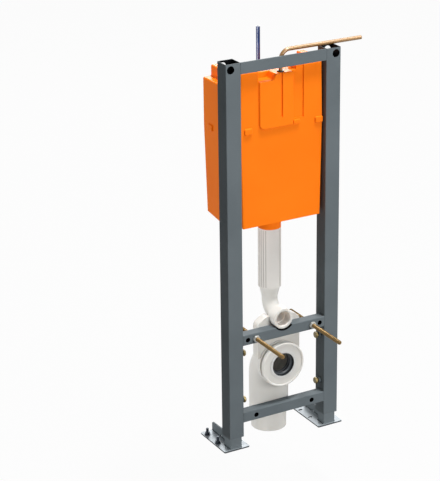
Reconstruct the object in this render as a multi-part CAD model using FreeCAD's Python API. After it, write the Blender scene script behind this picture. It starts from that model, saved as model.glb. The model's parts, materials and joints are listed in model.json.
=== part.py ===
import FreeCAD, Part
import math
import os
from FreeCAD import Vector

# Wall hung toilet frame: a steel stand with a concealed cistern, flush pipe and drain bend.
# Millimetres. X runs to the right, Y from the front to the back, Z up from the floor.
# The origin lies on the floor, at the centre of the four free floor slots.

# Steel stand
FRONT = -89.0                 # Y of the front plane of the stand
FRAME_WIDTH = 350.0
FRAME_TOP = 1109.0
UPRIGHT = 45.0
UPRIGHT_WALL = 2.0
UPRIGHT_END = 37.0            # lower end of the uprights, feet pushed in
TUBE_CORNER = 2.0
WALL_HOLE_INSET = 15.0        # from the outer side of the stand
WALL_HOLE_DROP = 16.0
WALL_HOLE_D = 22.0
TOP_BAR_HEIGHT = 31.0
TOP_BAR_THICK = 4.0
CROSSBAR = 30.0
CROSSBAR_WALL = 2.0
MIDDLE_BAR_TOP = 341.0
LOWER_BAR_TOP = 109.0
BAR_HOLE_DROP = 15.5
BAR_HOLE_D = 14.0
WIDE_HOLE_SPACING = 230.0

# Telescopic feet
LEG = 36.0
LEG_WALL = 2.0
LEG_LENGTH = 480.0
PLATE_WIDTH = 79.0
PLATE_LENGTH = 141.0
PLATE_THICK = 4.0
PLATE_OVERHANG = 1.0          # plate in front of the uprights
PLATE_CORNER = 3.0
WEB_THICK = 4.0
WEB_HIGH = 27.0
WEB_LOW = 24.0
WEB_CORNER = 5.0
WEB_NOTCH_D = 9.0             # half-round gap in the weld under the web
SLOT_LENGTH = 13.0
SLOT_WIDTH = 8.0
SLOT_SPACING_Y = 54.0
FLOOR_BOLT_D = 8.0
FLOOR_BOLT_HEIGHT = 24.0
FLOOR_BOLT_LIFT = 0.5
FLOOR_NUT_AF = 13.0
FLOOR_NUT_HEIGHT = 6.5
FLOOR_WASHER_D = 18.0
FLOOR_WASHER_THICK = 1.6
FLOOR_BOLT_SPACING_Y = 60.0

# Clamp bolts that hold the feet
CLAMP_UPPER_Z = 280.0
CLAMP_LOWER_Z = 139.0
CLAMP_D = 10.0
CLAMP_AF = 17.0
CLAMP_HEAD = 7.0
CLAMP_NUT = 6.0
CLAMP_SHOWN = 4.0             # shank between the nut and the head

# Pan studs
STUD_SPACING = 180.0
STUD_D = 12.0
STUD_SHANK_D = 11.6           # plain shank behind the free thread
STUD_FRONT = 144.0            # reach in front of the stand
STUD_REAR = 116.0             # reach behind the front plane
STUD_NUT_AF = 18.0
STUD_NUT_HEIGHT = 8.0
STUD_FLANGE_D = 24.0
STUD_FLANGE_THICK = 2.0
STUD_FREE_GAP = 2.0           # shank shown in front of the front nut

# Fits
SEAT = 0.3                    # gap where two round pieces seat
HOLE_EXTRA = 1.0              # bolt holes are this much wider than their bolt
CUT_OVER = 1.0                # a cut runs this far past the material
BIG = 600.0                   # longer than any trim needs
HEX_SIDES = 6

# Flush pipe
FLUSH_DEPTH = 79.0            # pipe axis behind the front plane
FLUSH_AXIS_Z = 362.0
FLUSH_D = 45.0
FLUSH_WALL = 2.5
FLUSH_BEND_R = 40.0
FLUSH_MOUTH_DEPTH = 4.0
FLUSH_SOCKET_D = 58.0
FLUSH_SOCKET_BORE = 45.0
FLUSH_SOCKET_BORE_LENGTH = 28.0
NOTCH_GAP = 5.0
RISER_D = 57.0
REDUCER_LIFT = 2.0            # straight pipe above the bend
REDUCER_LENGTH = 32.0
REDUCER_EASE = 6.0            # soft start and end of the swell
SLEEVE_D = 64.0
SLEEVE_TOP = 610.0

# Drain
DRAIN_DEPTH = 86.5
DRAIN_AXIS_Z = 223.0
DRAIN_D = 111.0
DRAIN_WALL = 7.5
DRAIN_BEND_R = 58.0
DRAIN_MOUTH_DEPTH = 20.0
DRAIN_SOCKET_END = 62.0
DRAIN_SOCKET_DEPTH = 40.0
DRAIN_PIPE_D = 100.0
DRAIN_PIPE_SEAT_D = 96.6      # inside the socket
DRAIN_PIPE_WALL = 4.0
DRAIN_PIPE_END = 6.0
DRAIN_PIPE_GAP = 4.0          # seat diameter shown below the socket
COLLAR_D = 130.0
COLLAR_FACE_D = 118.0         # flat front, inside the rim
COLLAR_RIM = 2.5              # rim in front of the face
COLLAR_RIM_SLOPE = 1.0
COLLAR_BEVEL = 1.5
COLLAR_STEP_D = 117.0
COLLAR_LIP_D = 128.0
COLLAR_MOUTH_DEPTH = 5.0
COLLAR_FLANGE = 9.0
COLLAR_LIP = 5.0
COLLAR_END_DEPTH = 29.5
COLLAR_FACE = 6.0
SEAL_BORE = 67.0
SEAL_WALL = 5.0
SEAL_LENGTH = 30.0

# Pipe bracket behind the middle crossbar
BRACKET_WIDTH = 134.0
BRACKET_DEPTH = 26.0
BRACKET_WALL = 4.0
BRACKET_BOTTOM = 247.0
BRACKET_SHOULDER = 348.0
BRACKET_SHOULDER_R = 18.0
BRACKET_TOP = 366.0
BRACKET_TOP_WIDTH = 80.0
BRACKET_TOP_R = 25.0
BRACKET_RING_D = 127.0
BRACKET_RING_WIDTH = 14.0

# Cistern
CISTERN_WALL = 3.0
CISTERN_WIDTH = 336.0
CISTERN_LOW_WIDTH = 320.0
CISTERN_BEND_Z = 915.0
CISTERN_BEND_R = 200.0
CISTERN_FACE_DEPTH = 12.0
CISTERN_BACK_DEPTH = 136.0
CISTERN_GAP = 0.5             # behind the uprights
CISTERN_BOTTOM_FRONT = 645.0
CISTERN_BOTTOM_BACK = 662.0
KEEL_WIDTH = 322.0            # bottom face with its rounded side corners
KEEL_CORNER = 12.0
KEEL_FLARE = 13.0             # trim line outside the widest place
MOULD_CORNER = 4.0
MOULD_EDGE = 3.0
EAR_TOP = 1074.0
EAR_WIDTH = 25.0
SHOULDER_WIDTH = 24.0         # outside the ears
SHOULDER_DROP = 30.0          # below the ears
MIDDLE_DROP = 13.0
LEDGE_DROP = 29.0
BULGE_TOP_WIDTH = 246.0
BULGE_BEND_WIDTH = 252.0
BULGE_LOW_WIDTH = 240.0
BULGE_LAP = 12.0              # reach of the bulge into the main body
LEDGE_LEFT = -70.0
LEDGE_STEP = -20.0
LEDGE_STEP_RUN = 8.0
LEDGE_RIGHT = 46.0
PANEL_RIGHT = 33.0
PANEL_PROUD = 5.0
PANEL_BOTTOM = 914.0
PANEL_CORNER = 15.0           # at the lower left
GROOVE_X = -3.5
GROOVE_WIDTH = 7.0
GROOVE_DEPTH = 3.5
GROOVE_BOTTOM = 941.0
CHANNEL_WIDTH = 34.0          # sunk strip beside the panel
CHANNEL_DEPTH = 3.0
CHANNEL_BOTTOM = 930.0
BUMP_WIDTH = 24.0
BUMP_HEIGHT = 18.0
BUMP_PROUD = 4.0
BUMP_SINK = 6.0               # reach of a bump into the wall
BUMP_SPACING = 217.0
BUMP_OFFSET = 5.5             # middle of the front pair, to the right
BUMP_SIDE_DEPTH = 97.0
DIMPLE_D = 20.0               # round dimples at the back
DIMPLE_DEPTH = 4.0
MARK_WIDTH = 72.0             # shallow mark between them
MARK_HEIGHT = 14.0
MARK_DEPTH = 2.0
WINDOW_WIDTH = 204.0
WINDOW_STRIP = 10.0           # wall left above the window
WINDOW_HEIGHT = 103.0
WINDOW_CORNER = 8.0
ROD_NOTCH_WIDTH = 18.0
OUTLET_BOTTOM = 640.0
OUTLET_TOP = 666.0
OUTLET_BORE = 52.0

# Supply pipe
SUPPLY_X = 2.0
SUPPLY_DEPTH = 22.0
SUPPLY_D = 11.0
SUPPLY_WALL = 1.0
SUPPLY_BEND_R = 27.0
SUPPLY_RISE = 10.0            # level run above the stand
SUPPLY_REACH = 77.0           # beyond the stand's right side
SUPPLY_INSERT = 31.0          # length inside the cistern
GROMMET_D = 19.0
GROMMET_HEIGHT = 4.0
INLET_D = 13.0

# Flush mechanism
ROD_X = -3.0
ROD_DEPTH = 130.0
ROD_D = 11.0
ROD_WALL = 2.0
ROD_RISE = 51.0               # above the stand
VALVE_BASE_D = 80.0
VALVE_BASE = 8.0
VALVE_D = 54.0
VALVE_WALL = 3.0
VALVE_TOP = 960.0
VALVE_PORT_WIDTH = 20.0
VALVE_PORT_BOTTOM = 690.0
VALVE_PORT_TOP = 760.0
HEAD_LEFT = -14.0
HEAD_RIGHT = 86.0
HEAD_FRONT_DEPTH = 60.0
HEAD_BACK_DEPTH = 112.0
HEAD_HEIGHT = 40.0
HEAD_WALL = 3.0
HEAD_CELLS = 4
ROD_SOCKET_D = 18.0
ROD_SOCKET_HEIGHT = 22.0
ROD_SOCKET_FLOOR = 6.0
FILL_X = -56.0
FILL_DEPTH = 84.0
FILL_D = 24.0
FILL_LENGTH = 166.0
FILL_CLEAR = 15.0             # below the cistern's middle top
FILL_ARM_D = 16.0
FLOAT_D = 50.0
FLOAT_LENGTH = 80.0
FLOAT_LIFT = 25.0             # above the foot of the column

# Derived places
upright_x = (FRAME_WIDTH - UPRIGHT) / 2
upright_y = FRONT + UPRIGHT / 2
inner_face_x = FRAME_WIDTH / 2 - UPRIGHT
leg_inner_x = upright_x - LEG / 2
leg_outer_x = upright_x + LEG / 2
leg_rear_y = upright_y + LEG / 2
plate_front_y = FRONT - PLATE_OVERHANG
plate_rear_y = plate_front_y + PLATE_LENGTH
plate_inner_x = upright_x - PLATE_WIDTH / 2
plate_outer_x = upright_x + PLATE_WIDTH / 2
slot_x = (plate_inner_x + leg_inner_x) / 2
floor_bolt_x = (plate_outer_x + leg_outer_x) / 2
clamp_heights = (CLAMP_UPPER_Z, CLAMP_LOWER_Z)
stud_x = STUD_SPACING / 2
stud_z = MIDDLE_BAR_TOP - BAR_HOLE_DROP
flush_y = FRONT + FLUSH_DEPTH
flush_mouth_y = FRONT + FLUSH_MOUTH_DEPTH
reducer_bottom = FLUSH_AXIS_Z + FLUSH_BEND_R + REDUCER_LIFT
reducer_top = reducer_bottom + REDUCER_LENGTH
drain_y = FRONT + DRAIN_DEPTH
drain_mouth_y = FRONT + DRAIN_MOUTH_DEPTH
bracket_y = FRONT + CROSSBAR
body_front_y = FRONT + UPRIGHT + CISTERN_GAP
body_back_y = FRONT + CISTERN_BACK_DEPTH
face_y = FRONT + CISTERN_FACE_DEPTH
panel_y = face_y - PANEL_PROUD
ear_outer_x = CISTERN_WIDTH / 2 - SHOULDER_WIDTH
ear_inner_x = ear_outer_x - EAR_WIDTH
shoulder_z = EAR_TOP - SHOULDER_DROP
middle_top = EAR_TOP - MIDDLE_DROP
ledge_z = EAR_TOP - LEDGE_DROP
dimple_r = (DIMPLE_D ** 2 / 4 + DIMPLE_DEPTH ** 2) / (2 * DIMPLE_DEPTH)
window_top = middle_top - WINDOW_STRIP
supply_y = FRONT + SUPPLY_DEPTH
supply_run_z = FRAME_TOP + SUPPLY_RISE
supply_foot_z = middle_top - SUPPLY_INSERT
supply_end_x = FRAME_WIDTH / 2 + SUPPLY_REACH
rod_y = FRONT + ROD_DEPTH
rod_foot_z = VALVE_TOP + ROD_SOCKET_FLOOR
fill_y = FRONT + FILL_DEPTH
fill_top = middle_top - FILL_CLEAR
fill_bottom = fill_top - FILL_LENGTH


def box(x0, x1, y0, y1, z0, z1):
    return Part.makeBox(x1 - x0, y1 - y0, z1 - z0, Vector(x0, y0, z0))


def rod(diameter, start, end):
    """A round bar from one point to another."""
    way = Vector(*end) - Vector(*start)
    return Part.makeCylinder(diameter / 2, way.Length, Vector(*start), way)


def pipe(diameter, bore, start, end):
    return rod(diameter, start, end).cut(rod(bore, start, end))


def rounded_face(corners):
    """A flat face inside a polygon of (point, radius) corners; radius 0 keeps a corner sharp."""
    count = len(corners)
    rounds = []
    for i in range(count):
        corner, radius = corners[i]
        if radius == 0:
            rounds.append((corner, corner, None))
            continue
        to_last = (corners[i - 1][0] - corner).normalize()
        to_next = (corners[(i + 1) % count][0] - corner).normalize()
        half = to_last.getAngle(to_next) / 2
        start = corner + to_last * (radius / math.tan(half))
        end = corner + to_next * (radius / math.tan(half))
        middle = corner + (to_last + to_next).normalize() * (radius / math.sin(half) - radius)
        rounds.append((start, end, Part.Arc(start, middle, end).toShape()))
    edges = []
    for i in range(count):
        start, end, arc = rounds[i]
        edges.append(Part.LineSegment(rounds[i - 1][1], start).toShape())
        if arc is not None:
            edges.append(arc)
    return Part.Face(Part.Wire(edges))


def prism_x(outline, x0, x1):
    """A prism of (y, z, radius) corners, drawn at x0 and pushed across to x1."""
    face = rounded_face([(Vector(x0, y, z), radius) for y, z, radius in outline])
    return face.extrude(Vector(x1 - x0, 0, 0))


def prism_y(outline, y0, y1):
    """A prism of (x, z, radius) corners, drawn at y0 and pushed back to y1."""
    face = rounded_face([(Vector(x, y0, z), radius) for x, z, radius in outline])
    return face.extrude(Vector(0, y1 - y0, 0))


def round_rims(solid, radius, rim_ys, floor_z):
    """Round the edges that lie in the given planes across Y, apart from those at or under a height."""
    rims = [edge for edge in solid.Edges if edge.CenterOfMass.z > floor_z and
            any(all(math.isclose(vertex.Y, y) for vertex in edge.Vertexes) for y in rim_ys)]
    return solid.makeFillet(radius, rims)


def turned(outline, centre, axis):
    """A ring turned about an axis from (radius, place along the axis) corners."""
    centre = Vector(*centre)
    axis = Vector(*axis)
    side = Vector(1, 0, 0)
    corners = [centre + side * radius + axis * place for radius, place in outline]
    face = Part.Face(Part.makePolygon(corners + corners[:1]))
    return face.revolve(centre, axis, 360)


def hexagon(across_flats, start, way):
    """A hexagonal prism that starts at a point and runs along a vector."""
    way = Vector(*way)
    step = 2 * math.pi / HEX_SIDES
    radius = across_flats / 2 / math.cos(step / 2)
    ring = [Vector(radius * math.cos(i * step), radius * math.sin(i * step), 0) for i in range(HEX_SIDES)]
    face = Part.Face(Part.makePolygon(ring + ring[:1]))
    solid = face.extrude(Vector(0, 0, way.Length))
    solid.Placement = FreeCAD.Placement(Vector(*start), FreeCAD.Rotation(Vector(0, 0, 1), way))
    return solid


def mirrored(shape):
    return shape.mirror(Vector(0, 0, 0), Vector(1, 0, 0))


def symmetric(half):
    """Close a right-hand outline of (x, z, radius) corners with its mirror image."""
    return half + [(-x, z, radius) for x, z, radius in reversed(half)]


def quarter_bend(diameter, bend_r, y, z, side):
    """A bend between a level run at z, in front, and an upright run at y, above (side 1) or below it (-1)."""
    turn_z = z + side * bend_r
    ring = Part.Wire(Part.makeCircle(diameter / 2, Vector(0, y, turn_z), Vector(0, 0, 1)))
    return Part.Face(ring).revolve(Vector(0, y - bend_r, turn_z), Vector(1, 0, 0), -side * 90)


def elbow_run(diameter, bend_r, y, z, side, mouth_y, end_z):
    """A solid run: level from the mouth, round a quarter bend, then upright to its end."""
    level_run = rod(diameter, (0, mouth_y, z), (0, y - bend_r, z))
    upright_run = rod(diameter, (0, y, z + side * bend_r), (0, y, end_z))
    return level_run.fuse([quarter_bend(diameter, bend_r, y, z, side), upright_run])


def square_tube(size, wall, corner, start, way):
    """A square tube with rounded edges, on its centre line from a point along X or Z."""
    def section(width, radius):
        half = width / 2
        points = [(-half, -half), (half, -half), (half, half), (-half, half)]
        return rounded_face([(Vector(x, y, 0), radius) for x, y in points])

    way = Vector(*way)
    outer = section(size, corner).extrude(Vector(0, 0, way.Length))
    inner = section(size - 2 * wall, corner / 2).extrude(Vector(0, 0, way.Length))
    tube = outer.cut(inner)
    tube.Placement = FreeCAD.Placement(Vector(*start), FreeCAD.Rotation(Vector(0, 0, 1), way))
    return tube


def upright():
    tube = square_tube(UPRIGHT, UPRIGHT_WALL, TUBE_CORNER, (upright_x, upright_y, UPRIGHT_END),
                       (0, 0, FRAME_TOP - UPRIGHT_END))
    hole_x = FRAME_WIDTH / 2 - WALL_HOLE_INSET
    hole_z = FRAME_TOP - WALL_HOLE_DROP
    start = (hole_x, FRONT - CUT_OVER, hole_z)
    end = (hole_x, FRONT + UPRIGHT + CUT_OVER, hole_z)
    tube = tube.cut(rod(WALL_HOLE_D, start, end))
    for height in clamp_heights:
        start = (inner_face_x - CUT_OVER, upright_y, height)
        end = (upright_x, upright_y, height)
        tube = tube.cut(rod(CLAMP_D + HOLE_EXTRA, start, end))
    return tube


def top_bar():
    bottom = FRAME_TOP - TOP_BAR_HEIGHT
    return box(-inner_face_x, inner_face_x, FRONT, FRONT + TOP_BAR_THICK, bottom, FRAME_TOP)


def crossbar(top, hole_spacings):
    """A level tube between the uprights; each spacing gives a pair of through holes and their width."""
    middle = (-inner_face_x, FRONT + CROSSBAR / 2, top - CROSSBAR / 2)
    tube = square_tube(CROSSBAR, CROSSBAR_WALL, TUBE_CORNER, middle, (2 * inner_face_x, 0, 0))
    for spacing, width in hole_spacings:
        for x in (-spacing / 2, spacing / 2):
            start = (x, FRONT - CUT_OVER, top - BAR_HOLE_DROP)
            end = (x, FRONT + CROSSBAR + CUT_OVER, top - BAR_HOLE_DROP)
            tube = tube.cut(rod(width, start, end))
    return tube


def middle_crossbar():
    stud_hole_d = STUD_SHANK_D + HOLE_EXTRA
    bar = crossbar(MIDDLE_BAR_TOP, ((STUD_SPACING, stud_hole_d), (WIDE_HOLE_SPACING, BAR_HOLE_D)))
    notch_d = FLUSH_SOCKET_D + 2 * NOTCH_GAP
    start = (0, FRONT - CUT_OVER, FLUSH_AXIS_Z)
    end = (0, FRONT + CROSSBAR + CUT_OVER, FLUSH_AXIS_Z)
    return bar.cut(rod(notch_d, start, end))


def leg():
    return square_tube(LEG, LEG_WALL, TUBE_CORNER, (upright_x, upright_y, PLATE_THICK), (0, 0, LEG_LENGTH))


def slot(x, y):
    straight = (SLOT_LENGTH - SLOT_WIDTH) / 2
    top = PLATE_THICK + CUT_OVER
    cut = box(x - straight, x + straight, y - SLOT_WIDTH / 2, y + SLOT_WIDTH / 2, -CUT_OVER, top)
    for end in (x - straight, x + straight):
        cut = cut.fuse(rod(SLOT_WIDTH, (end, y, -CUT_OVER), (end, y, top)))
    return cut


def floor_bolt_places():
    """The two floor bolts of the right foot, in its outer strip."""
    return [(floor_bolt_x, side * FLOOR_BOLT_SPACING_Y / 2) for side in (-1, 1)]


def foot_plate():
    outline = [(plate_inner_x, plate_front_y), (plate_outer_x, plate_front_y),
               (plate_outer_x, plate_rear_y), (plate_inner_x, plate_rear_y)]
    face = rounded_face([(Vector(x, y, 0), PLATE_CORNER) for x, y in outline])
    plate = face.extrude(Vector(0, 0, PLATE_THICK))
    for side in (-1, 1):
        plate = plate.cut(slot(slot_x, side * SLOT_SPACING_Y / 2))
    for x, y in floor_bolt_places():
        plate = plate.cut(rod(FLOOR_BOLT_D + HOLE_EXTRA, (x, y, -CUT_OVER), (x, y, PLATE_THICK + CUT_OVER)))
    return plate


def foot_web():
    """The upright rib behind the leg, lower at its rear end."""
    outline = [(leg_rear_y, PLATE_THICK, 0), (plate_rear_y, PLATE_THICK, 0),
               (plate_rear_y, PLATE_THICK + WEB_LOW, WEB_CORNER), (leg_rear_y, PLATE_THICK + WEB_HIGH, 0)]
    x0 = upright_x - WEB_THICK / 2
    x1 = upright_x + WEB_THICK / 2
    notch_y = (leg_rear_y + plate_rear_y) / 2
    notch = rod(WEB_NOTCH_D, (x0 - CUT_OVER, notch_y, PLATE_THICK), (x1 + CUT_OVER, notch_y, PLATE_THICK))
    return prism_x(outline, x0, x1).cut(notch)


def floor_bolts():
    return Part.makeCompound([rod(FLOOR_BOLT_D, (x, y, FLOOR_BOLT_LIFT), (x, y, FLOOR_BOLT_HEIGHT))
                              for x, y in floor_bolt_places()])


def flange_nut(across_flats, height, flange_d, flange, bore, seat, way):
    """A hexagon nut with a round flange that seats at a point and stands up along a unit vector."""
    way = Vector(*way)
    seat = Vector(*seat)
    nut = Part.makeCylinder(flange_d / 2, flange, seat, way)
    nut = nut.fuse(hexagon(across_flats, tuple(seat), tuple(way * (flange + height))))
    return nut.cut(Part.makeCylinder(bore / 2, flange + height, seat, way)).removeSplitter()


def floor_nuts():
    nuts = [flange_nut(FLOOR_NUT_AF, FLOOR_NUT_HEIGHT, FLOOR_WASHER_D, FLOOR_WASHER_THICK,
                       FLOOR_BOLT_D + SEAT, (x, y, PLATE_THICK), (0, 0, 1)) for x, y in floor_bolt_places()]
    return Part.makeCompound(nuts)


def clamp_bolts():
    """The right-hand pair; each tip stops just short of the leg."""
    neck_x = inner_face_x - CLAMP_NUT - CLAMP_SHOWN
    bolts = []
    for height in clamp_heights:
        shank = rod(CLAMP_D, (neck_x, upright_y, height), (leg_inner_x - SEAT, upright_y, height))
        head = hexagon(CLAMP_AF, (neck_x - CLAMP_HEAD, upright_y, height), (CLAMP_HEAD, 0, 0))
        bolts.append(shank.fuse(head).removeSplitter())
    return Part.makeCompound(bolts)


def clamp_nuts():
    """The right-hand pair, welded to the inner face of the upright."""
    nuts = []
    for height in clamp_heights:
        start = (inner_face_x - CLAMP_NUT, upright_y, height)
        end = (inner_face_x, upright_y, height)
        nuts.append(hexagon(CLAMP_AF, start, (CLAMP_NUT, 0, 0)).cut(rod(CLAMP_D + SEAT, start, end)))
    return Part.makeCompound(nuts)


def pan_stud():
    """A long stud: a free thread in front of its nut, and a slightly slimmer shank through the crossbar."""
    neck_y = FRONT - STUD_NUT_HEIGHT - STUD_FREE_GAP
    thread = rod(STUD_D, (stud_x, FRONT - STUD_FRONT, stud_z), (stud_x, neck_y, stud_z))
    shank = rod(STUD_SHANK_D, (stud_x, neck_y, stud_z), (stud_x, FRONT + STUD_REAR, stud_z))
    return thread.fuse(shank)


def stud_nuts():
    """A plain nut in front of the middle crossbar and a flanged one behind it."""
    bore = STUD_SHANK_D + SEAT
    start = (stud_x, FRONT - STUD_NUT_HEIGHT, stud_z)
    end = (stud_x, FRONT, stud_z)
    front_nut = hexagon(STUD_NUT_AF, start, (0, STUD_NUT_HEIGHT, 0)).cut(rod(bore, start, end))
    rear_nut = flange_nut(STUD_NUT_AF, STUD_NUT_HEIGHT, STUD_FLANGE_D, STUD_FLANGE_THICK, bore,
                          (stud_x, FRONT + CROSSBAR, stud_z), (0, 1, 0))
    return Part.makeCompound([front_nut, rear_nut])


def flush_riser(elbow_d, riser_d):
    """The solid upright run, which swells in an S from the elbow's width to the riser's."""
    def point(diameter, z):
        return Vector(diameter / 2, flush_y, z)

    swell = Part.BezierCurve()
    swell.setPoles([point(elbow_d, reducer_bottom), point(elbow_d, reducer_bottom + REDUCER_EASE),
                    point(riser_d, reducer_top - REDUCER_EASE), point(riser_d, reducer_top)])
    rest = Part.makePolygon([point(riser_d, reducer_top), point(riser_d, OUTLET_BOTTOM),
                             point(0, OUTLET_BOTTOM), point(0, reducer_bottom),
                             point(elbow_d, reducer_bottom)])
    face = Part.Face(Part.Wire([swell.toShape()] + rest.Edges))
    return face.revolve(Vector(0, flush_y, 0), Vector(0, 0, 1), 360)


def flush_run(elbow_d, riser_d):
    elbow = elbow_run(elbow_d, FLUSH_BEND_R, flush_y, FLUSH_AXIS_Z, 1, flush_mouth_y, reducer_bottom)
    return elbow.fuse(flush_riser(elbow_d, riser_d))


def flush_elbow():
    """The riser below the cistern, the elbow under it and the socket that faces the pan."""
    mouth = (0, flush_mouth_y, FLUSH_AXIS_Z)
    socket_end = (0, flush_y - FLUSH_BEND_R, FLUSH_AXIS_Z)
    bore_end = (0, flush_mouth_y + FLUSH_SOCKET_BORE_LENGTH, FLUSH_AXIS_Z)
    outer = flush_run(FLUSH_D, RISER_D).fuse(rod(FLUSH_SOCKET_D, mouth, socket_end))
    inner = flush_run(FLUSH_D - 2 * FLUSH_WALL, RISER_D - 2 * FLUSH_WALL)
    inner = inner.fuse(rod(FLUSH_SOCKET_BORE, mouth, bore_end))
    return outer.cut(inner).removeSplitter()


def flush_sleeve():
    """The insulating sleeve on the riser."""
    return pipe(SLEEVE_D, RISER_D + 2 * SEAT, (0, flush_y, reducer_top), (0, flush_y, SLEEVE_TOP))


def cistern_outlet():
    """The collar that joins the riser to the cistern's outlet."""
    return pipe(SLEEVE_D, RISER_D + 2 * SEAT, (0, flush_y, SLEEVE_TOP), (0, flush_y, OUTLET_BOTTOM))


def drain_run(diameter, mouth_y):
    """A solid run: back from the mouth, round a quarter bend and down to the socket's end."""
    return elbow_run(diameter, DRAIN_BEND_R, drain_y, DRAIN_AXIS_Z, -1, mouth_y, DRAIN_SOCKET_END)


def drain_bend():
    outer = drain_run(DRAIN_D, drain_mouth_y)
    inner = drain_run(DRAIN_D - 2 * DRAIN_WALL, drain_mouth_y)
    socket = rod(DRAIN_PIPE_SEAT_D + 2 * SEAT, (0, drain_y, DRAIN_SOCKET_END),
                 (0, drain_y, DRAIN_SOCKET_END + DRAIN_SOCKET_DEPTH))
    return outer.cut(inner).cut(socket).removeSplitter()


def drain_pipe():
    """The pipe end under the bend, slightly slimmer where it seats in the socket."""
    foot = (0, drain_y, DRAIN_PIPE_END)
    neck = (0, drain_y, DRAIN_SOCKET_END - DRAIN_PIPE_GAP)
    top = (0, drain_y, DRAIN_SOCKET_END + DRAIN_SOCKET_DEPTH)
    body = rod(DRAIN_PIPE_D, foot, neck).fuse(rod(DRAIN_PIPE_SEAT_D, neck, top))
    return body.cut(rod(DRAIN_PIPE_D - 2 * DRAIN_PIPE_WALL, foot, top))


def drain_collar():
    """The stepped ring on the mouth of the bend, with a flat face round the seal and a rim round that."""
    seal_r = SEAL_BORE / 2 + SEAL_WALL + SEAT
    pipe_r = DRAIN_D / 2 + SEAT
    bore_r = DRAIN_D / 2 - DRAIN_WALL
    mouth = COLLAR_MOUTH_DEPTH
    lip = COLLAR_END_DEPTH - COLLAR_LIP
    rim = mouth - COLLAR_RIM
    outline = [(seal_r, mouth), (COLLAR_FACE_D / 2, mouth), (COLLAR_FACE_D / 2 + COLLAR_RIM_SLOPE, rim),
               (COLLAR_D / 2 - COLLAR_BEVEL, rim), (COLLAR_D / 2, rim + COLLAR_BEVEL),
               (COLLAR_D / 2, mouth + COLLAR_FLANGE), (COLLAR_STEP_D / 2, mouth + COLLAR_FLANGE),
               (COLLAR_STEP_D / 2, lip), (COLLAR_LIP_D / 2, lip), (COLLAR_LIP_D / 2, COLLAR_END_DEPTH),
               (pipe_r, COLLAR_END_DEPTH), (pipe_r, DRAIN_MOUTH_DEPTH), (bore_r, DRAIN_MOUTH_DEPTH),
               (bore_r, mouth + COLLAR_FACE), (seal_r, mouth + COLLAR_FACE)]
    return turned(outline, (0, FRONT, DRAIN_AXIS_Z), (0, 1, 0))


def drain_seal():
    """A rubber sleeve in the collar, with a flange behind its face."""
    bore_r = SEAL_BORE / 2
    back = COLLAR_MOUTH_DEPTH + COLLAR_FACE
    end = COLLAR_MOUTH_DEPTH + SEAL_LENGTH
    wall_r = bore_r + SEAL_WALL
    flange_r = wall_r + SEAL_WALL
    outline = [(bore_r, COLLAR_MOUTH_DEPTH), (wall_r, COLLAR_MOUTH_DEPTH), (wall_r, back), (flange_r, back),
               (flange_r, back + SEAL_WALL), (wall_r, back + SEAL_WALL), (wall_r, end), (bore_r, end)]
    return turned(outline, (0, FRONT, DRAIN_AXIS_Z), (0, 1, 0))


def bracket_body(inset, y0, y1):
    """The bracket's block with its two saddles, drawn in by an inset."""
    half = BRACKET_WIDTH / 2 - inset
    outline = [(half, BRACKET_BOTTOM + inset, 0),
               (half, BRACKET_SHOULDER - inset, BRACKET_SHOULDER_R - inset),
               (BRACKET_TOP_WIDTH / 2 - inset, BRACKET_TOP - inset, BRACKET_TOP_R - inset)]
    body = prism_y(symmetric(outline), y0, y1)
    saddle_y0 = y0 - CUT_OVER
    saddle_y1 = y1 + CUT_OVER
    for diameter, z in ((FLUSH_SOCKET_D, FLUSH_AXIS_Z), (DRAIN_D, DRAIN_AXIS_Z)):
        width = diameter + 2 * (SEAT + inset)
        body = body.cut(rod(width, (0, saddle_y0, z), (0, saddle_y1, z)))
    gap = FLUSH_SOCKET_D / 2 + SEAT + inset
    return body.cut(box(-gap, gap, saddle_y0, saddle_y1, FLUSH_AXIS_Z, BRACKET_TOP + CUT_OVER))


def pipe_bracket():
    """A moulded clamp, open at the back: a saddle for the flush socket and a ring round the drain bend."""
    rear_y = bracket_y + BRACKET_DEPTH
    block = bracket_body(0, bracket_y, rear_y)
    hollow = bracket_body(BRACKET_WALL, bracket_y + BRACKET_WALL, rear_y + CUT_OVER)
    ring_y = bracket_y + BRACKET_RING_WIDTH
    ring = rod(BRACKET_RING_D, (0, bracket_y, DRAIN_AXIS_Z), (0, ring_y, DRAIN_AXIS_Z))
    return block.cut(hollow).fuse(ring).cut(drain_run(DRAIN_D + 2 * SEAT, FRONT)).removeSplitter()


def keel_trim(inset):
    """The space above the cistern's sloping bottom, with rounded side corners that follow the slope."""
    slope = (CISTERN_BOTTOM_BACK - CISTERN_BOTTOM_FRONT) / (body_back_y - face_y)
    start_y = panel_y - CUT_OVER
    length = body_back_y - panel_y + 2 * CUT_OVER
    bottom = CISTERN_BOTTOM_FRONT + slope * (start_y - face_y) + inset
    half = KEEL_WIDTH / 2 - inset
    flare_x = CISTERN_WIDTH / 2 + KEEL_FLARE
    outline = [(half, bottom, max(KEEL_CORNER - inset, 0)), (flare_x - inset, CISTERN_BEND_Z, 0),
               (flare_x - inset, bottom + BIG, 0)]
    face = rounded_face([(Vector(x, start_y, z), radius) for x, z, radius in symmetric(outline)])
    return face.extrude(Vector(0, length, slope * length))


def bump(place, turn, inset, edge):
    """A rounded block that stands proud of a wall, drawn in by an inset; turn 0 faces the front."""
    half = BUMP_WIDTH / 2 - inset
    rise = BUMP_HEIGHT / 2 - inset
    radius = max(MOULD_CORNER - inset, 0)
    block = prism_y(symmetric([(half, -rise, radius), (half, rise, radius)]), inset - BUMP_PROUD, BUMP_SINK)
    if edge > 0:
        block = round_rims(block, edge, (-BUMP_PROUD,), -BUMP_HEIGHT)
    block.Placement = FreeCAD.Placement(place, FreeCAD.Rotation(Vector(0, 0, 1), turn))
    return block


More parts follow.
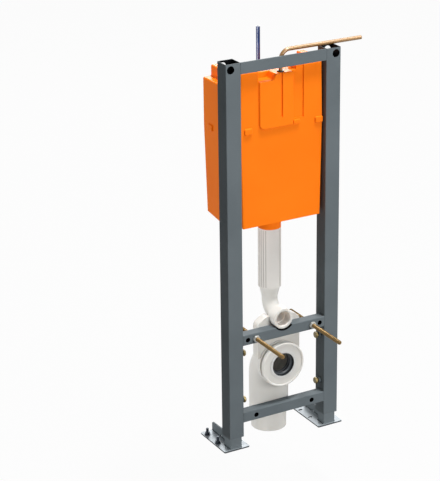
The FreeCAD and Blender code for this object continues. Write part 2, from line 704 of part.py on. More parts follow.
def bumps(inset, edge):
    """Blocks on the front and on both sides, where the walls bend."""
    blocks = []
    for side in (-1, 1):
        front_place = Vector(BUMP_OFFSET + side * BUMP_SPACING / 2, face_y, CISTERN_BEND_Z)
        side_place = Vector(side * CISTERN_WIDTH / 2, FRONT + BUMP_SIDE_DEPTH, CISTERN_BEND_Z)
        blocks += [bump(front_place, 0, inset, edge), bump(side_place, side * 90, inset, edge)]
    return blocks


def rear_marks(inset):
    """Cuts at the back: two round dimples and a shallow mark between them, grown by an inset."""
    lift = dimple_r - DIMPLE_DEPTH
    half = MARK_WIDTH / 2 + inset
    low = CISTERN_BEND_Z - MARK_HEIGHT / 2 - inset
    high = CISTERN_BEND_Z + MARK_HEIGHT / 2 + inset
    radius = MARK_HEIGHT / 4 + inset
    cuts = [prism_y(symmetric([(half, low, radius), (half, high, radius)]), body_back_y - MARK_DEPTH - inset,
                    body_back_y + CUT_OVER)]
    for side in (-1, 1):
        place = Vector(BUMP_OFFSET + side * BUMP_SPACING / 2, body_back_y + lift, CISTERN_BEND_Z)
        cuts.append(Part.makeSphere(dimple_r + inset, place))
    return cuts


def cistern_form(inset, edge):
    """The cistern's closed form, drawn in on every side by an inset; a mould edge rounds its outer rims."""
    convex = max(MOULD_CORNER - inset, 0)
    concave = MOULD_CORNER + inset
    low = CISTERN_BOTTOM_FRONT - PANEL_PROUD
    ear_z = EAR_TOP - inset
    middle_z = middle_top - inset
    low_ledge_z = ledge_z - inset
    step_foot = LEDGE_STEP - LEDGE_STEP_RUN
    ledges = [(LEDGE_STEP + inset, middle_z, convex), (step_foot + inset, low_ledge_z, concave)]
    rear = symmetric([(CISTERN_LOW_WIDTH / 2 - inset, low, 0),
                      (CISTERN_WIDTH / 2 - inset, CISTERN_BEND_Z, CISTERN_BEND_R),
                      (CISTERN_WIDTH / 2 - inset, shoulder_z - inset, convex),
                      (ear_outer_x - inset, shoulder_z - inset, concave),
                      (ear_outer_x - inset, ear_z, convex),
                      (ear_inner_x + inset, ear_z, convex),
                      (ear_inner_x + inset, middle_z, concave)])
    bulge = [(-BULGE_LOW_WIDTH / 2 + inset, low, 0), (BULGE_LOW_WIDTH / 2 - inset, low, 0),
             (BULGE_BEND_WIDTH / 2 - inset, CISTERN_BEND_Z, CISTERN_BEND_R),
             (BULGE_TOP_WIDTH / 2 - inset, ear_z, convex), (LEDGE_RIGHT + inset, ear_z, convex),
             (LEDGE_RIGHT + inset, middle_z, concave)] + ledges + [
             (LEDGE_LEFT - inset, low_ledge_z, concave), (LEDGE_LEFT - inset, ear_z, convex),
             (-BULGE_TOP_WIDTH / 2 + inset, ear_z, convex),
             (-BULGE_BEND_WIDTH / 2 + inset, CISTERN_BEND_Z, CISTERN_BEND_R)]
    panel = [(LEDGE_LEFT + inset, PANEL_BOTTOM + inset, PANEL_CORNER - inset),
             (PANEL_RIGHT - inset, PANEL_BOTTOM + inset, convex),
             (PANEL_RIGHT - inset, middle_z, convex)] + ledges + [(LEDGE_LEFT + inset, low_ledge_z, convex)]
    rear_form = prism_y(rear, body_front_y + inset, body_back_y - inset)
    bulge_form = prism_y(bulge, face_y + inset, body_front_y + BULGE_LAP - inset)
    panel_form = prism_y(panel, panel_y + inset, face_y + 2 * MOULD_EDGE)
    if edge > 0:
        rear_form = round_rims(rear_form, edge, (body_front_y, body_back_y), low)
        bulge_form = round_rims(bulge_form, edge, (face_y,), low)
        panel_form = round_rims(panel_form, edge, (panel_y,), low)
    groove_half = GROOVE_WIDTH / 2 + inset
    groove = box(GROOVE_X - groove_half, GROOVE_X + groove_half, panel_y - CUT_OVER,
                 panel_y + GROOVE_DEPTH + inset, GROOVE_BOTTOM - inset, EAR_TOP)
    channel = box(PANEL_RIGHT - inset, PANEL_RIGHT + CHANNEL_WIDTH + inset, panel_y - CUT_OVER,
                  face_y + CHANNEL_DEPTH + inset, CHANNEL_BOTTOM - inset, EAR_TOP + CUT_OVER)
    body = rear_form.fuse([bulge_form, panel_form] + bumps(inset, edge))
    return body.cut([groove, channel] + rear_marks(inset)).common(keel_trim(inset))


def cistern_shell():
    shell = cistern_form(0, MOULD_EDGE).cut(cistern_form(CISTERN_WALL, 0))
    outlet = rod(SLEEVE_D, (0, flush_y, OUTLET_BOTTOM), (0, flush_y, OUTLET_TOP))
    bore = rod(OUTLET_BORE, (0, flush_y, OUTLET_BOTTOM - CUT_OVER), (0, flush_y, OUTLET_TOP + CUT_OVER))
    window_half = [(WINDOW_WIDTH / 2, window_top - WINDOW_HEIGHT, WINDOW_CORNER),
                   (WINDOW_WIDTH / 2, window_top, WINDOW_CORNER)]
    window = prism_y(symmetric(window_half), body_back_y - 2 * CISTERN_WALL, body_back_y + CUT_OVER)
    notch = box(ROD_X - ROD_NOTCH_WIDTH / 2, ROD_X + ROD_NOTCH_WIDTH / 2, rod_y - ROD_NOTCH_WIDTH / 2,
                body_back_y + CUT_OVER, window_top - CUT_OVER, EAR_TOP)
    inlet = rod(INLET_D, (SUPPLY_X, supply_y, middle_top - 2 * CISTERN_WALL),
                (SUPPLY_X, supply_y, middle_top + CUT_OVER))
    return shell.fuse(outlet).cut([bore, window, notch, inlet]).removeSplitter()


def supply_run(diameter):
    """Up out of the cistern, round a bend and along to the right."""
    bend_z = supply_run_z - SUPPLY_BEND_R
    bend_x = SUPPLY_X + SUPPLY_BEND_R
    riser = rod(diameter, (SUPPLY_X, supply_y, supply_foot_z), (SUPPLY_X, supply_y, bend_z))
    ring = Part.Wire(Part.makeCircle(diameter / 2, Vector(SUPPLY_X, supply_y, bend_z), Vector(0, 0, 1)))
    bend = Part.Face(ring).revolve(Vector(bend_x, supply_y, bend_z), Vector(0, 1, 0), 90)
    run = rod(diameter, (bend_x, supply_y, supply_run_z), (supply_end_x, supply_y, supply_run_z))
    return riser.fuse([bend, run])


def supply_pipe():
    return supply_run(SUPPLY_D).cut(supply_run(SUPPLY_D - 2 * SUPPLY_WALL)).removeSplitter()


def supply_grommet():
    start = (SUPPLY_X, supply_y, middle_top)
    end = (SUPPLY_X, supply_y, middle_top + GROMMET_HEIGHT)
    return pipe(GROMMET_D, SUPPLY_D + 2 * SEAT, start, end)


def actuator_rod():
    top = FRAME_TOP + ROD_RISE
    return pipe(ROD_D, ROD_D - 2 * ROD_WALL, (ROD_X, rod_y, rod_foot_z), (ROD_X, rod_y, top))


def flush_valve():
    """The hollow valve tower on the outlet, wide at its base, with water ports in its wall."""
    foot = (0, flush_y, OUTLET_TOP)
    top = (0, flush_y, VALVE_TOP)
    base = rod(VALVE_BASE_D, foot, (0, flush_y, OUTLET_TOP + VALVE_BASE))
    tower = base.fuse(rod(VALVE_D, foot, top)).cut(rod(VALVE_D - 2 * VALVE_WALL, foot, top))
    half = VALVE_PORT_WIDTH / 2
    reach = VALVE_D / 2 + CUT_OVER
    ports = [box(-half, half, flush_y - reach, flush_y + reach, VALVE_PORT_BOTTOM, VALVE_PORT_TOP),
             box(-reach, reach, flush_y - half, flush_y + half, VALVE_PORT_BOTTOM, VALVE_PORT_TOP)]
    return tower.cut(ports).removeSplitter()


def flush_head():
    """The ribbed housing on top of the tower, with an arm and a socket for the actuator rod."""
    y0 = FRONT + HEAD_FRONT_DEPTH
    y1 = FRONT + HEAD_BACK_DEPTH
    top = VALVE_TOP + HEAD_HEIGHT
    head = box(HEAD_LEFT, HEAD_RIGHT, y0, y1, VALVE_TOP, top)
    cell = (HEAD_RIGHT - HEAD_LEFT - HEAD_WALL) / HEAD_CELLS
    for i in range(HEAD_CELLS):
        x = HEAD_LEFT + HEAD_WALL + i * cell
        head = head.cut(box(x, x + cell - HEAD_WALL, y0 + HEAD_WALL, y1 + CUT_OVER, VALVE_TOP + HEAD_WALL,
                            top - HEAD_WALL))
    socket = rod(ROD_SOCKET_D, (ROD_X, rod_y, VALVE_TOP), (ROD_X, rod_y, VALVE_TOP + ROD_SOCKET_HEIGHT))
    arm = box(ROD_X - ROD_SOCKET_D / 4, ROD_X + ROD_SOCKET_D / 4, y1 - HEAD_WALL, rod_y, VALVE_TOP,
              VALVE_TOP + HEAD_WALL)
    well = rod(ROD_D + 2 * SEAT, (ROD_X, rod_y, rod_foot_z), (ROD_X, rod_y, top))
    return head.fuse([socket, arm]).cut(well).removeSplitter()


def fill_valve():
    """A column with an arm that carries the lower end of the supply pipe."""
    arm_z = supply_foot_z - FILL_ARM_D / 2
    column = rod(FILL_D, (FILL_X, fill_y, fill_bottom), (FILL_X, fill_y, fill_top))
    arm = rod(FILL_ARM_D, (FILL_X, fill_y, arm_z), (SUPPLY_X, supply_y, arm_z))
    cup_z = supply_foot_z - FILL_ARM_D
    cup = rod(FILL_ARM_D, (SUPPLY_X, supply_y, cup_z), (SUPPLY_X, supply_y, supply_foot_z))
    return column.fuse([arm, cup]).removeSplitter()


def fill_float():
    bottom = fill_bottom + FLOAT_LIFT
    return pipe(FLOAT_D, FILL_D + 2 * SEAT, (FILL_X, fill_y, bottom), (FILL_X, fill_y, bottom + FLOAT_LENGTH))


def save(name, shape):
    shape.exportStep("parts/" + name + ".step")


def save_pair(name, shape):
    """A right-hand piece and its mirror image on the left."""
    save("right_" + name, shape)
    save("left_" + name, mirrored(shape))


os.makedirs("parts", exist_ok=True)

save_pair("upright", upright())
save_pair("foot_leg", leg())
save_pair("foot_plate", foot_plate())
save_pair("foot_web", foot_web())
save_pair("floor_bolts", floor_bolts())
save_pair("floor_nuts", floor_nuts())
save_pair("clamp_bolts", clamp_bolts())
save_pair("clamp_nuts", clamp_nuts())
save_pair("pan_stud", pan_stud())
save_pair("stud_nuts", stud_nuts())
save("top_bar", top_bar())
save("middle_crossbar", middle_crossbar())
save("lower_crossbar", crossbar(LOWER_BAR_TOP, ((STUD_SPACING, BAR_HOLE_D),)))
save("flush_elbow", flush_elbow())
save("flush_sleeve", flush_sleeve())
save("cistern_outlet", cistern_outlet())
save("cistern_shell", cistern_shell())
save("drain_bend", drain_bend())
save("drain_pipe", drain_pipe())
save("drain_collar", drain_collar())
save("drain_seal", drain_seal())
save("pipe_bracket", pipe_bracket())
save("supply_pipe", supply_pipe())
save("supply_grommet", supply_grommet())
save("actuator_rod", actuator_rod())
save("flush_valve", flush_valve())
save("flush_head", flush_head())
save("fill_valve", fill_valve())
save("fill_float", fill_float())
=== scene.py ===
import json
import math

import bmesh
import bpy
from mathutils import Matrix, Vector


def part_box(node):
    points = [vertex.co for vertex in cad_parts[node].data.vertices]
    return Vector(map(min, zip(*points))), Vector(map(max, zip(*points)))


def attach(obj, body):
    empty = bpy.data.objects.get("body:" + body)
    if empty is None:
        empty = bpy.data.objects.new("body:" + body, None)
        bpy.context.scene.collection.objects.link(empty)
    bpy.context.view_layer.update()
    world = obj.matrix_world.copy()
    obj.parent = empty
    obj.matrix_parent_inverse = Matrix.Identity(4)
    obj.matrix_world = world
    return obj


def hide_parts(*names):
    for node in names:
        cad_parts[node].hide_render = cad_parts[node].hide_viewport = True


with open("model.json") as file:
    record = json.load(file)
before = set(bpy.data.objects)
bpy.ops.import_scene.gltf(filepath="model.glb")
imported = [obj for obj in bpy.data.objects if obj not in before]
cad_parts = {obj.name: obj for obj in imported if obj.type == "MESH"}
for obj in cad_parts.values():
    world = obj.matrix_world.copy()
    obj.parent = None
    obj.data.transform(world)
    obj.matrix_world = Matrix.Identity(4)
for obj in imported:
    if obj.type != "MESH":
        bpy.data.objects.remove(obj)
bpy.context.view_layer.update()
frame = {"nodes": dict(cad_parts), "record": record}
nodes = frame["nodes"]
MM = 0.001
UP = (0, 0, 1)
FRONT = (0, -1, 0)
BACK = (0, 1, 0)

# Camera, fitted to the photograph, in metres, degrees and pixels
PHOTO_WIDTH = 440
PHOTO_HEIGHT = 481
FOCAL_PIXELS = 1847.14
CENTRE_PIXEL = (284.93, 240.0)
CAMERA_PLACE = (-2.3918, -4.0729, 2.4020)
CAMERA_PITCH = 21.246
CAMERA_TURN = -31.001
CAMERA_REACH = 50.0
SENSOR = 36.0

# Light: soft lamps in front, above and behind, fills that light some pieces alone, and a dim world
LAMP_TARGET = (0.0, 0.0, 0.55)
KEY_PLACE = (1.1, -4.3, 1.9)
KEY_SIZE = 1.8
KEY_POWER = 118.0
TOP_PLACE = (0.5, -0.75, 4.2)
TOP_SIZE = 0.7
TOP_POWER = 145.0
BACK_PLACE = (1.8, 4.2, 2.7)
BACK_SIZE = 1.8
BACK_POWER = 62.0
FILL_SIZE = 2.4
LEFT_FILL = (-4.0, 0.4, 1.2)
RIGHT_FILL = (3.6, -1.4, 1.0)
LOW_FILL = (-3.1, -1.8, -0.3)
HIGH_FILL = (1.9, -0.4, 4.0)
WHITES = ("white_plastic", "white_foam")
FILLS = {  # name: slots that it lights, place, watts
    "orange": (("orange_plastic",), LEFT_FILL, 65.0),
    "white_left": (WHITES, LEFT_FILL, 130.0),
    "white_right": (WHITES, RIGHT_FILL, 30.0),
    "blue": (("blue_plastic",), LOW_FILL, 380.0),
    "copper": (("copper",), HIGH_FILL, 130.0),
}
FOOT_FILL_POWER = 65.0
WORLD_LIGHT = 0.15
FLOOR_HALF = 12.0
FLOOR_COLOUR = (0.44, 0.44, 0.44)
FLOOR_ROUGH = 0.9
FLOOR_GLOW = 0.96             # share of the floor that is plain white to the camera

# Finishes
FINISHES = {  # tones as seen on a screen; mottle and grain in counts per metre; relief in millimetres
    "grey_steel": dict(low=(98, 106, 110), high=(104, 112, 116), rough=(0.40, 0.54),
                       mottle=7.0, grain=700.0, relief=0.03, shine=0.05),
    "sliding_steel": dict(low=(110, 118, 122), high=(116, 124, 128), rough=(0.40, 0.54),
                          mottle=7.0, grain=700.0, relief=0.03, shine=0.05),
    # pale plates: partly their own zinc, partly a painted reflection on their flat faces
    "foot_steel": dict(low=(156, 163, 168), high=(172, 179, 184), rough=(0.36, 0.48),
                       mottle=9.0, grain=500.0, relief=0.02, metal=0.4, stretch=(1.0, 0.12, 1.0)),
    "dark_steel": dict(low=(48, 54, 62), high=(70, 77, 86), rough=(0.28, 0.42),
                       mottle=60.0, grain=900.0, relief=0.03, metal=0.7),
    "zinc_steel": dict(low=(176, 176, 172), high=(196, 196, 190), rough=(0.30, 0.42),
                       mottle=60.0, grain=900.0, relief=0.02, metal=0.4),
    "brass": dict(low=(150, 118, 60), high=(164, 130, 70), rough=(0.22, 0.32),
                  mottle=70.0, grain=900.0, relief=0.02, metal=0.45, shine=0.6),
    "dull_brass": dict(low=(122, 106, 62), high=(136, 118, 72), rough=(0.26, 0.36),
                       mottle=70.0, grain=900.0, relief=0.02, metal=0.45, shine=0.6),
    "orange_plastic": dict(low=(250, 121, 18), high=(254, 127, 21), rough=(0.30, 0.40),
                           mottle=5.0, grain=420.0, relief=0.04, shine=0.06),
    "white_plastic": dict(low=(206, 204, 199), high=(212, 210, 205), rough=(0.42, 0.54),
                          mottle=9.0, grain=500.0, relief=0.02, shine=0.15, scatter=0.5),
    "white_foam": dict(low=(208, 205, 200), high=(214, 211, 206), rough=(0.46, 0.60),
                       mottle=12.0, grain=350.0, relief=0.06, shine=0.2, scatter=0.05),
    "black_rubber": dict(low=(24, 25, 28), high=(34, 35, 38), rough=(0.22, 0.32),
                         mottle=40.0, grain=600.0, relief=0.04),
    # lighter rubber for the seal's lips: a painted highlight on their edges
    "lip_rubber_highlight": dict(low=(58, 63, 68), high=(66, 71, 76), rough=(0.24, 0.34),
                       mottle=40.0, grain=600.0, relief=0.04),
    "copper": dict(low=(128, 92, 42), high=(138, 100, 48), rough=(0.30, 0.36),
                   mottle=30.0, grain=60.0, relief=0.0, metal=0.2, shine=1.0),
    "blue_plastic": dict(low=(26, 40, 74), high=(32, 46, 84), rough=(0.10, 0.16),
                         mottle=40.0, grain=500.0, relief=0.0),
}
MOTTLE_SPAN = (0.35, 0.65)    # values of the noise at which the two tones are reached
GRAIN_SPAN = (0.3, 0.7)       # and at which the ends of the roughness range are reached
MOTTLE_DETAIL = 3.0
GRAIN_DETAIL = 2.0
ALONG_X = 0
ALONG_Z = 2
TUBE_RUNS = {"left_upright": ALONG_Z, "right_upright": ALONG_Z,
             "middle_crossbar": ALONG_X, "lower_crossbar": ALONG_X}
TUBE_WALL = 2.0 * MM
TUBE_INSIDE_SHADE = (16, 17, 20)    # painted shade inside the stand's tubes
PLATE_EDGE_SHADE = (52, 58, 63)       # painted shade on the upright edges and slot walls of the foot plates
EDGE_TILT = 0.5               # largest upward part of an edge's normal
# painted light: a paler tone that lifts the shade inside the flush socket
SOCKET_PAINTED_LIGHT = (240, 234, 228)
SOCKET_MARGIN = 0.2 * MM      # added to the radius of the flush socket
SOCKET_DEPTH_SHARE = 0.2      # how little depth counts against the distance from the socket's axis
SLIDING_NODES = ("left_foot_leg", "right_foot_leg", "left_foot_web", "right_foot_web")

# Light that spreads inside moulded plastic
SCATTER_REACH = 6 * MM
SCATTER_TINT = (1.0, 0.9, 0.8)

# Threads
STUD_PITCH = 1.75 * MM
FLOOR_PITCH = 1.25 * MM
CLAMP_PITCH = 1.5 * MM
THREAD_DEPTH = 0.6            # of the pitch
RINGS_PER_TURN = 6
THREAD_SIDES = 20
ROOT_LAYER = "root"           # 0 on a thread's crest or a ridge, 1 at the bottom of the groove, where shade is painted
# painted shade at the bottom of a thread
THREAD_ROOT_SHADE = (44, 34, 20)
# painted shade in the foam sleeve's grooves
FOAM_GROOVE_SHADE = (150, 146, 140)

# Nuts and washers
NUT_CHAMFER = 0.12            # of the width across flats
NUT_CORNERS = 6
ROUND_SIDES = 32
WASHER_ROUND = 0.3 * MM
NUT_FACE_DIP = 0.25           # of the chamfer: how far it reaches in the middle of a flat
STUD_BORE = 0.97              # of the stud's thread
STUD_NUT_FLATS = 0.75         # of its washer
STUD_WASHER = 2.0 * MM
FLOOR_WASHER = 1.6 * MM
FLOOR_NUT_FLATS = 13 / 18     # of its washer
CLAMP_HEAD = 7.0 * MM
CLAMP_SHANK = 10 / 17         # of its head

# Foam sleeve; angles run from +X to +Y
SLEEVE_GROOVED = (-58.0, 221.0)
SLEEVE_GROOVES = 21
SLEEVE_GROOVE_DEPTH = 1.3 * MM
SLEEVE_SIDES = 360
SLEEVE_END = 3 * MM           # plain band at each end
SLEEVE_BORE = 57.2 / 64       # of its width

# Rubber seal
SEAL_LIP_DEPTHS = (6 * MM, 17 * MM)
SEAL_LIP_LENGTH = 7 * MM
SEAL_LIP_REACH = 6 * MM
SEAL_LIP_TIP = 1 * MM         # thickness at the tip
SEAL_LIP_ROOT = 2 * MM        # thickness at the bore
SEAL_SIDES = 64
SEAL_RING_BORE = 68.4 * MM
SEAL_RING_WIDTH = 84 * MM
SEAL_RING_THICK = 0.8 * MM

# Moulded block at the lower right corner of the cistern's panel
LUG_LEFT = 33.5 * MM
LUG_RIGHT = 55 * MM
LUG_BOTTOM = 915.5 * MM
LUG_TOP = 927 * MM
LUG_CORNER = 2 * MM
LUG_CORNER_STEPS = 4
PANEL_PROUD = 5 * MM          # height of the panel above the wall
LUG_RINGS = ((0.0, -1 * MM), (0.3 * MM, 3.8 * MM), (0.7 * MM, 4.6 * MM), (1.5 * MM, PANEL_PROUD))

# Trim of the flush mechanism
BAND_PROUD = 1.2 * MM
BAND_HEIGHT = 4 * MM
BAND_INSET = 5 * MM
TRIM_BORE = 0.98              # of what it sits on
CAP_FLATS = 1.25              # of the fill valve's column
CAP_HEIGHT = 11 * MM
CAP_DROP = 4 * MM
ARM_WIDTH = 16 * MM
ARM_NUT_FLATS = 1.35          # of the arm
ARM_NUT_HEIGHT = 9 * MM
ARM_NUT_GAP = 6 * MM
ROD_SOCKET_WIDTH = 18 * MM
ROD_SOCKET_HEIGHT = 22 * MM

# Welds
WEB_GAP = 12 * MM             # gap in the bead under the web
WELD_SIZE = 1.6 * MM
WELD_STEP = 1.1 * MM
WELD_RIPPLE = 0.18            # of the size
WELD_RIPPLE_STEPS = 3
WELD_SIDES = 8


def srgb(red, green, blue):
    """A colour as seen on a screen, 0 to 255, as the linear colour that shaders take."""
    def linear(value):
        value /= 255
        return value / 12.92 if value <= 0.04045 else ((value + 0.055) / 1.055) ** 2.4
    return linear(red), linear(green), linear(blue)


def find_bore(name):
    """Place and radius of a round mount of the record."""
    mount = next(mount for mount in frame["record"]["mounts"] if mount["name"] == name)
    return mount["pos_m"], mount["dims"]["r_mm"] * MM


# Materials

def new_material(name):
    material = bpy.data.materials.new(name)
    material.use_nodes = True
    return material, material.node_tree, material.node_tree.nodes["Principled BSDF"]


def add_noise(tree, scale, detail, stretch):
    """Noise in a piece's own coordinates, so that it moves with the piece."""
    place = tree.nodes.new("ShaderNodeTexCoord")
    mapping = tree.nodes.new("ShaderNodeMapping")
    mapping.inputs["Scale"].default_value = stretch
    noise = tree.nodes.new("ShaderNodeTexNoise")
    noise.inputs["Scale"].default_value = scale
    noise.inputs["Detail"].default_value = detail
    tree.links.new(place.outputs["Object"], mapping.inputs["Vector"])
    tree.links.new(mapping.outputs["Vector"], noise.inputs["Vector"])
    return noise.outputs["Fac"]


def add_ramp(tree, factor, low, high):
    """A colour that follows the noise between two tones."""
    ramp = tree.nodes.new("ShaderNodeValToRGB")
    for element, position, colour in zip(ramp.color_ramp.elements, MOTTLE_SPAN, (low, high)):
        element.position = position
        element.color = (*colour, 1.0)
    tree.links.new(factor, ramp.inputs["Fac"])
    return ramp.outputs["Color"]


def add_range(tree, factor, low, high):
    """A number that follows the noise between two values."""
    node = tree.nodes.new("ShaderNodeMapRange")
    node.inputs["From Min"].default_value = GRAIN_SPAN[0]
    node.inputs["From Max"].default_value = GRAIN_SPAN[1]
    node.inputs["To Min"].default_value = low
    node.inputs["To Max"].default_value = high
    tree.links.new(factor, node.inputs["Value"])
    return node.outputs["Result"]


def add_bump(tree, shader, height, depth):
    bump = tree.nodes.new("ShaderNodeBump")
    bump.inputs["Strength"].default_value = 1.0
    bump.inputs["Distance"].default_value = depth
    tree.links.new(height, bump.inputs["Height"])
    tree.links.new(bump.outputs["Normal"], shader.inputs["Normal"])


def surface(name, low, high, rough, mottle, grain, relief, metal=0.0, shine=0.5, scatter=0.0,
            stretch=(1.0, 1.0, 1.0)):
    """Two close tones mixed by a broad mottle, and a fine grain that breaks up gloss and relief."""
    material, tree, shader = new_material(name)
    broad = add_noise(tree, mottle, MOTTLE_DETAIL, stretch)
    fine = add_noise(tree, grain, GRAIN_DETAIL, stretch)
    tree.links.new(add_ramp(tree, broad, srgb(*low), srgb(*high)), shader.inputs["Base Color"])
    tree.links.new(add_range(tree, fine, *rough), shader.inputs["Roughness"])
    add_bump(tree, shader, fine, relief * MM)
    shader.inputs["Metallic"].default_value = metal
    shader.inputs["Specular IOR Level"].default_value = shine
    shader.inputs["Subsurface Weight"].default_value = scatter
    shader.inputs["Subsurface Scale"].default_value = SCATTER_REACH
    shader.inputs["Subsurface Radius"].default_value = SCATTER_TINT
    return material


def add_math(tree, operation, *values):
    """A calculation on sockets and plain numbers."""
    node = tree.nodes.new("ShaderNodeMath")
    node.operation = operation
    for value, socket in zip(values, node.inputs):
        if isinstance(value, float):
            socket.default_value = value
        else:
            tree.links.new(value, socket)
    return node.outputs[0]


def tint(material, factor, colour):
    """Take a finish from its own tone to another one as the factor rises."""
    tree = material.node_tree
    base = tree.nodes["Principled BSDF"].inputs["Base Color"]
    mix = tree.nodes.new("ShaderNodeMixRGB")
    mix.inputs["Color2"].default_value = (*srgb(*colour), 1.0)
    tree.links.new(factor, mix.inputs["Fac"])
    tree.links.new(base.links[0].from_socket, mix.inputs["Color1"])
    tree.links.new(mix.outputs["Color"], base)


def add_tube_inside(tree, node, along):
    """1 inside a square tube that runs along an axis, by place in the frame; 0 elsewhere."""
    low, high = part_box(node)
    place = tree.nodes.new("ShaderNodeTexCoord")
    split = tree.nodes.new("ShaderNodeSeparateXYZ")
    tree.links.new(place.outputs["Object"], split.inputs["Vector"])
    inside = None
    for axis in range(3):
        wall = 0.0 if axis == along else TUBE_WALL / 2
        reach = (high[axis] - low[axis]) / 2 - wall
        near = add_math(tree, "COMPARE", split.outputs[axis], (low[axis] + high[axis]) / 2, reach)
        inside = near if inside is None else add_math(tree, "MULTIPLY", inside, near)
    return inside


def paint_shade_in_tubes(material):
    """Painted shade inside the stand's tubes, dark by their place in the frame."""
    for node, along in TUBE_RUNS.items():
        tint(material, add_tube_inside(material.node_tree, node, along), TUBE_INSIDE_SHADE)


def paint_shade_on_plate_edges(material):
    """Painted shade on the upright edges of a plate, its slot walls among them; its flat faces keep the
    plate's pale tone.
    """
    tree = material.node_tree
    facing = tree.nodes.new("ShaderNodeNewGeometry")
    split = tree.nodes.new("ShaderNodeSeparateXYZ")
    tree.links.new(facing.outputs["True Normal"], split.inputs["Vector"])
    tint(material, add_math(tree, "COMPARE", split.outputs["Z"], 0.0, EDGE_TILT), PLATE_EDGE_SHADE)


def paint_root_shade(material, root_shade_colour):
    """Painted shade at the bottom of a thread or groove."""
    root = material.node_tree.nodes.new("ShaderNodeAttribute")
    root.attribute_name = ROOT_LAYER
    tint(material, root.outputs["Fac"], root_shade_colour)


def paint_light_in_socket(material):
    """Painted light inside the flush socket: a paler tone by its place in the frame, lifting the shade in
    its bore.
    """
    centre, radius = find_bore("flush_outlet")
    tree = material.node_tree
    place = tree.nodes.new("ShaderNodeTexCoord")
    shift = tree.nodes.new("ShaderNodeMapping")
    shift.inputs["Location"].default_value = [-value for value in centre]
    flat = tree.nodes.new("ShaderNodeVectorMath")
    flat.operation = "MULTIPLY"
    flat.inputs[1].default_value = (1.0, SOCKET_DEPTH_SHARE, 1.0)
    reach = tree.nodes.new("ShaderNodeVectorMath")
    reach.operation = "LENGTH"
    tree.links.new(place.outputs["Object"], shift.inputs["Vector"])
    tree.links.new(shift.outputs["Vector"], flat.inputs[0])
    tree.links.new(flat.outputs["Vector"], reach.inputs[0])
    inside = add_math(tree, "LESS_THAN", reach.outputs["Value"], radius + SOCKET_MARGIN)
    tint(material, inside, SOCKET_PAINTED_LIGHT)


def make_materials():
    """A finish for each slot, and others for what slides, the clamp screws and the seal's lips, whose
    lighter rubber paints a highlight.
    """
    finishes = {name: surface(name, **values) for name, values in FINISHES.items()}
    # painted shade inside the stand's tubes
    paint_shade_in_tubes(finishes["grey_steel"])
    # painted shade on the foot plates' upright edges and slot walls
    paint_shade_on_plate_edges(finishes["foot_steel"])
    # painted shade at the roots of the brass threads
    paint_root_shade(finishes["brass"], THREAD_ROOT_SHADE)
    paint_root_shade(finishes["dull_brass"], THREAD_ROOT_SHADE)
    # painted shade in the foam sleeve's grooves
    paint_root_shade(finishes["white_foam"], FOAM_GROOVE_SHADE)
    # painted light inside the flush socket
    paint_light_in_socket(finishes["white_plastic"])
    return finishes


def dress_nodes(materials):
    """Give each CAD node the finish of its slot, and what slides in the uprights its own grey."""
    for part in frame["record"]["subparts"]:
        mesh = nodes[part["node"]].data
        mesh.materials.clear()
        slot = part["material_slot"]
        slides = slot == "grey_steel" and part["node"] in SLIDING_NODES
        mesh.materials.append(materials["sliding_steel" if slides else slot])


# Pieces that Blender adds

added_pieces = []


def slot_pieces(slot):
    """The CAD nodes and the added pieces of a slot."""
    cad = [nodes[part["node"]] for part in frame["record"]["subparts"] if part["material_slot"] == slot]
    return cad + [piece for piece, piece_slot in added_pieces if piece_slot == slot]


def add_piece(name, bm, material, slot, body):
    """Turn a bmesh into a piece that rides on a body and belongs to a slot."""
    mesh = bpy.data.meshes.new(name)
    bmesh.ops.recalc_face_normals(bm, faces=bm.faces)
    bm.to_mesh(mesh)
    bm.free()
    mesh.materials.append(material)
    piece = bpy.data.objects.new(name, mesh)
    bpy.context.scene.collection.objects.link(piece)
    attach(piece, body)
    added_pieces.append((piece, slot))
    return piece


def root_layer(bm):
    return bm.verts.layers.float.get(ROOT_LAYER) or bm.verts.layers.float.new(ROOT_LAYER)


def place_ring(bm, start, turn, ring):
    """New vertices for (angle, radius, along) spots round an axis."""
    return [bm.verts.new(start + turn @ Vector((r * math.cos(angle), r * math.sin(angle), along)))
            for angle, r, along in ring]


def bridge(bm, first, second, smooth=False):
    """Faces between two closed rings with as many vertices."""
    count = len(first)
    for k in range(count):
        n = (k + 1) % count
        face = bm.faces.new((first[k], first[n], second[n], second[k]))
        face.smooth = smooth


def threaded_rod(bm, start, end, radius, pitch):
    """A rod whose thread winds round its axis, with a chamfer at both ends and its roots marked for painted
    shade.
    """
    root = root_layer(bm)
    way = Vector(end) - Vector(start)
    turn = way.to_track_quat("Z", "Y").to_matrix()
    rings = round(way.length / pitch * RINGS_PER_TURN)
    last_ring = None
    for i in range(rings + 1):
        along = way.length * i / rings
        end_gap = min(along, way.length - along)
        chamfer = max(0.0, pitch - end_gap) * THREAD_DEPTH
        ring = []
        for k in range(THREAD_SIDES):
            angle = 2 * math.pi * k / THREAD_SIDES
            phase = (along / pitch + k / THREAD_SIDES) % 1.0
            flank = abs(2 * phase - 1)
            r = min(radius - flank * pitch * THREAD_DEPTH, radius - chamfer)
            spot = Vector((r * math.cos(angle), r * math.sin(angle), along))
            ring.append(bm.verts.new(Vector(start) + turn @ spot))
            ring[-1][root] = flank
        if last_ring is None:
            bm.faces.new(list(reversed(ring)))
        else:
            bridge(bm, last_ring, ring, smooth=True)
        last_ring = ring
    bm.faces.new(last_ring)


def lathe(bm, start, way, outline, smooth=True, sides=ROUND_SIDES):
    """A closed ring turned about an axis from (radius, along) corners."""
    start = Vector(start)
    turn = Vector(way).to_track_quat("Z", "Y").to_matrix()
    angles = [2 * math.pi * k / sides for k in range(sides)]
    rings = [place_ring(bm, start, turn, [(angle, radius, along) for angle in angles])
             for radius, along in outline]
    for i, ring in enumerate(rings):
        bridge(bm, rings[i - 1], ring, smooth)


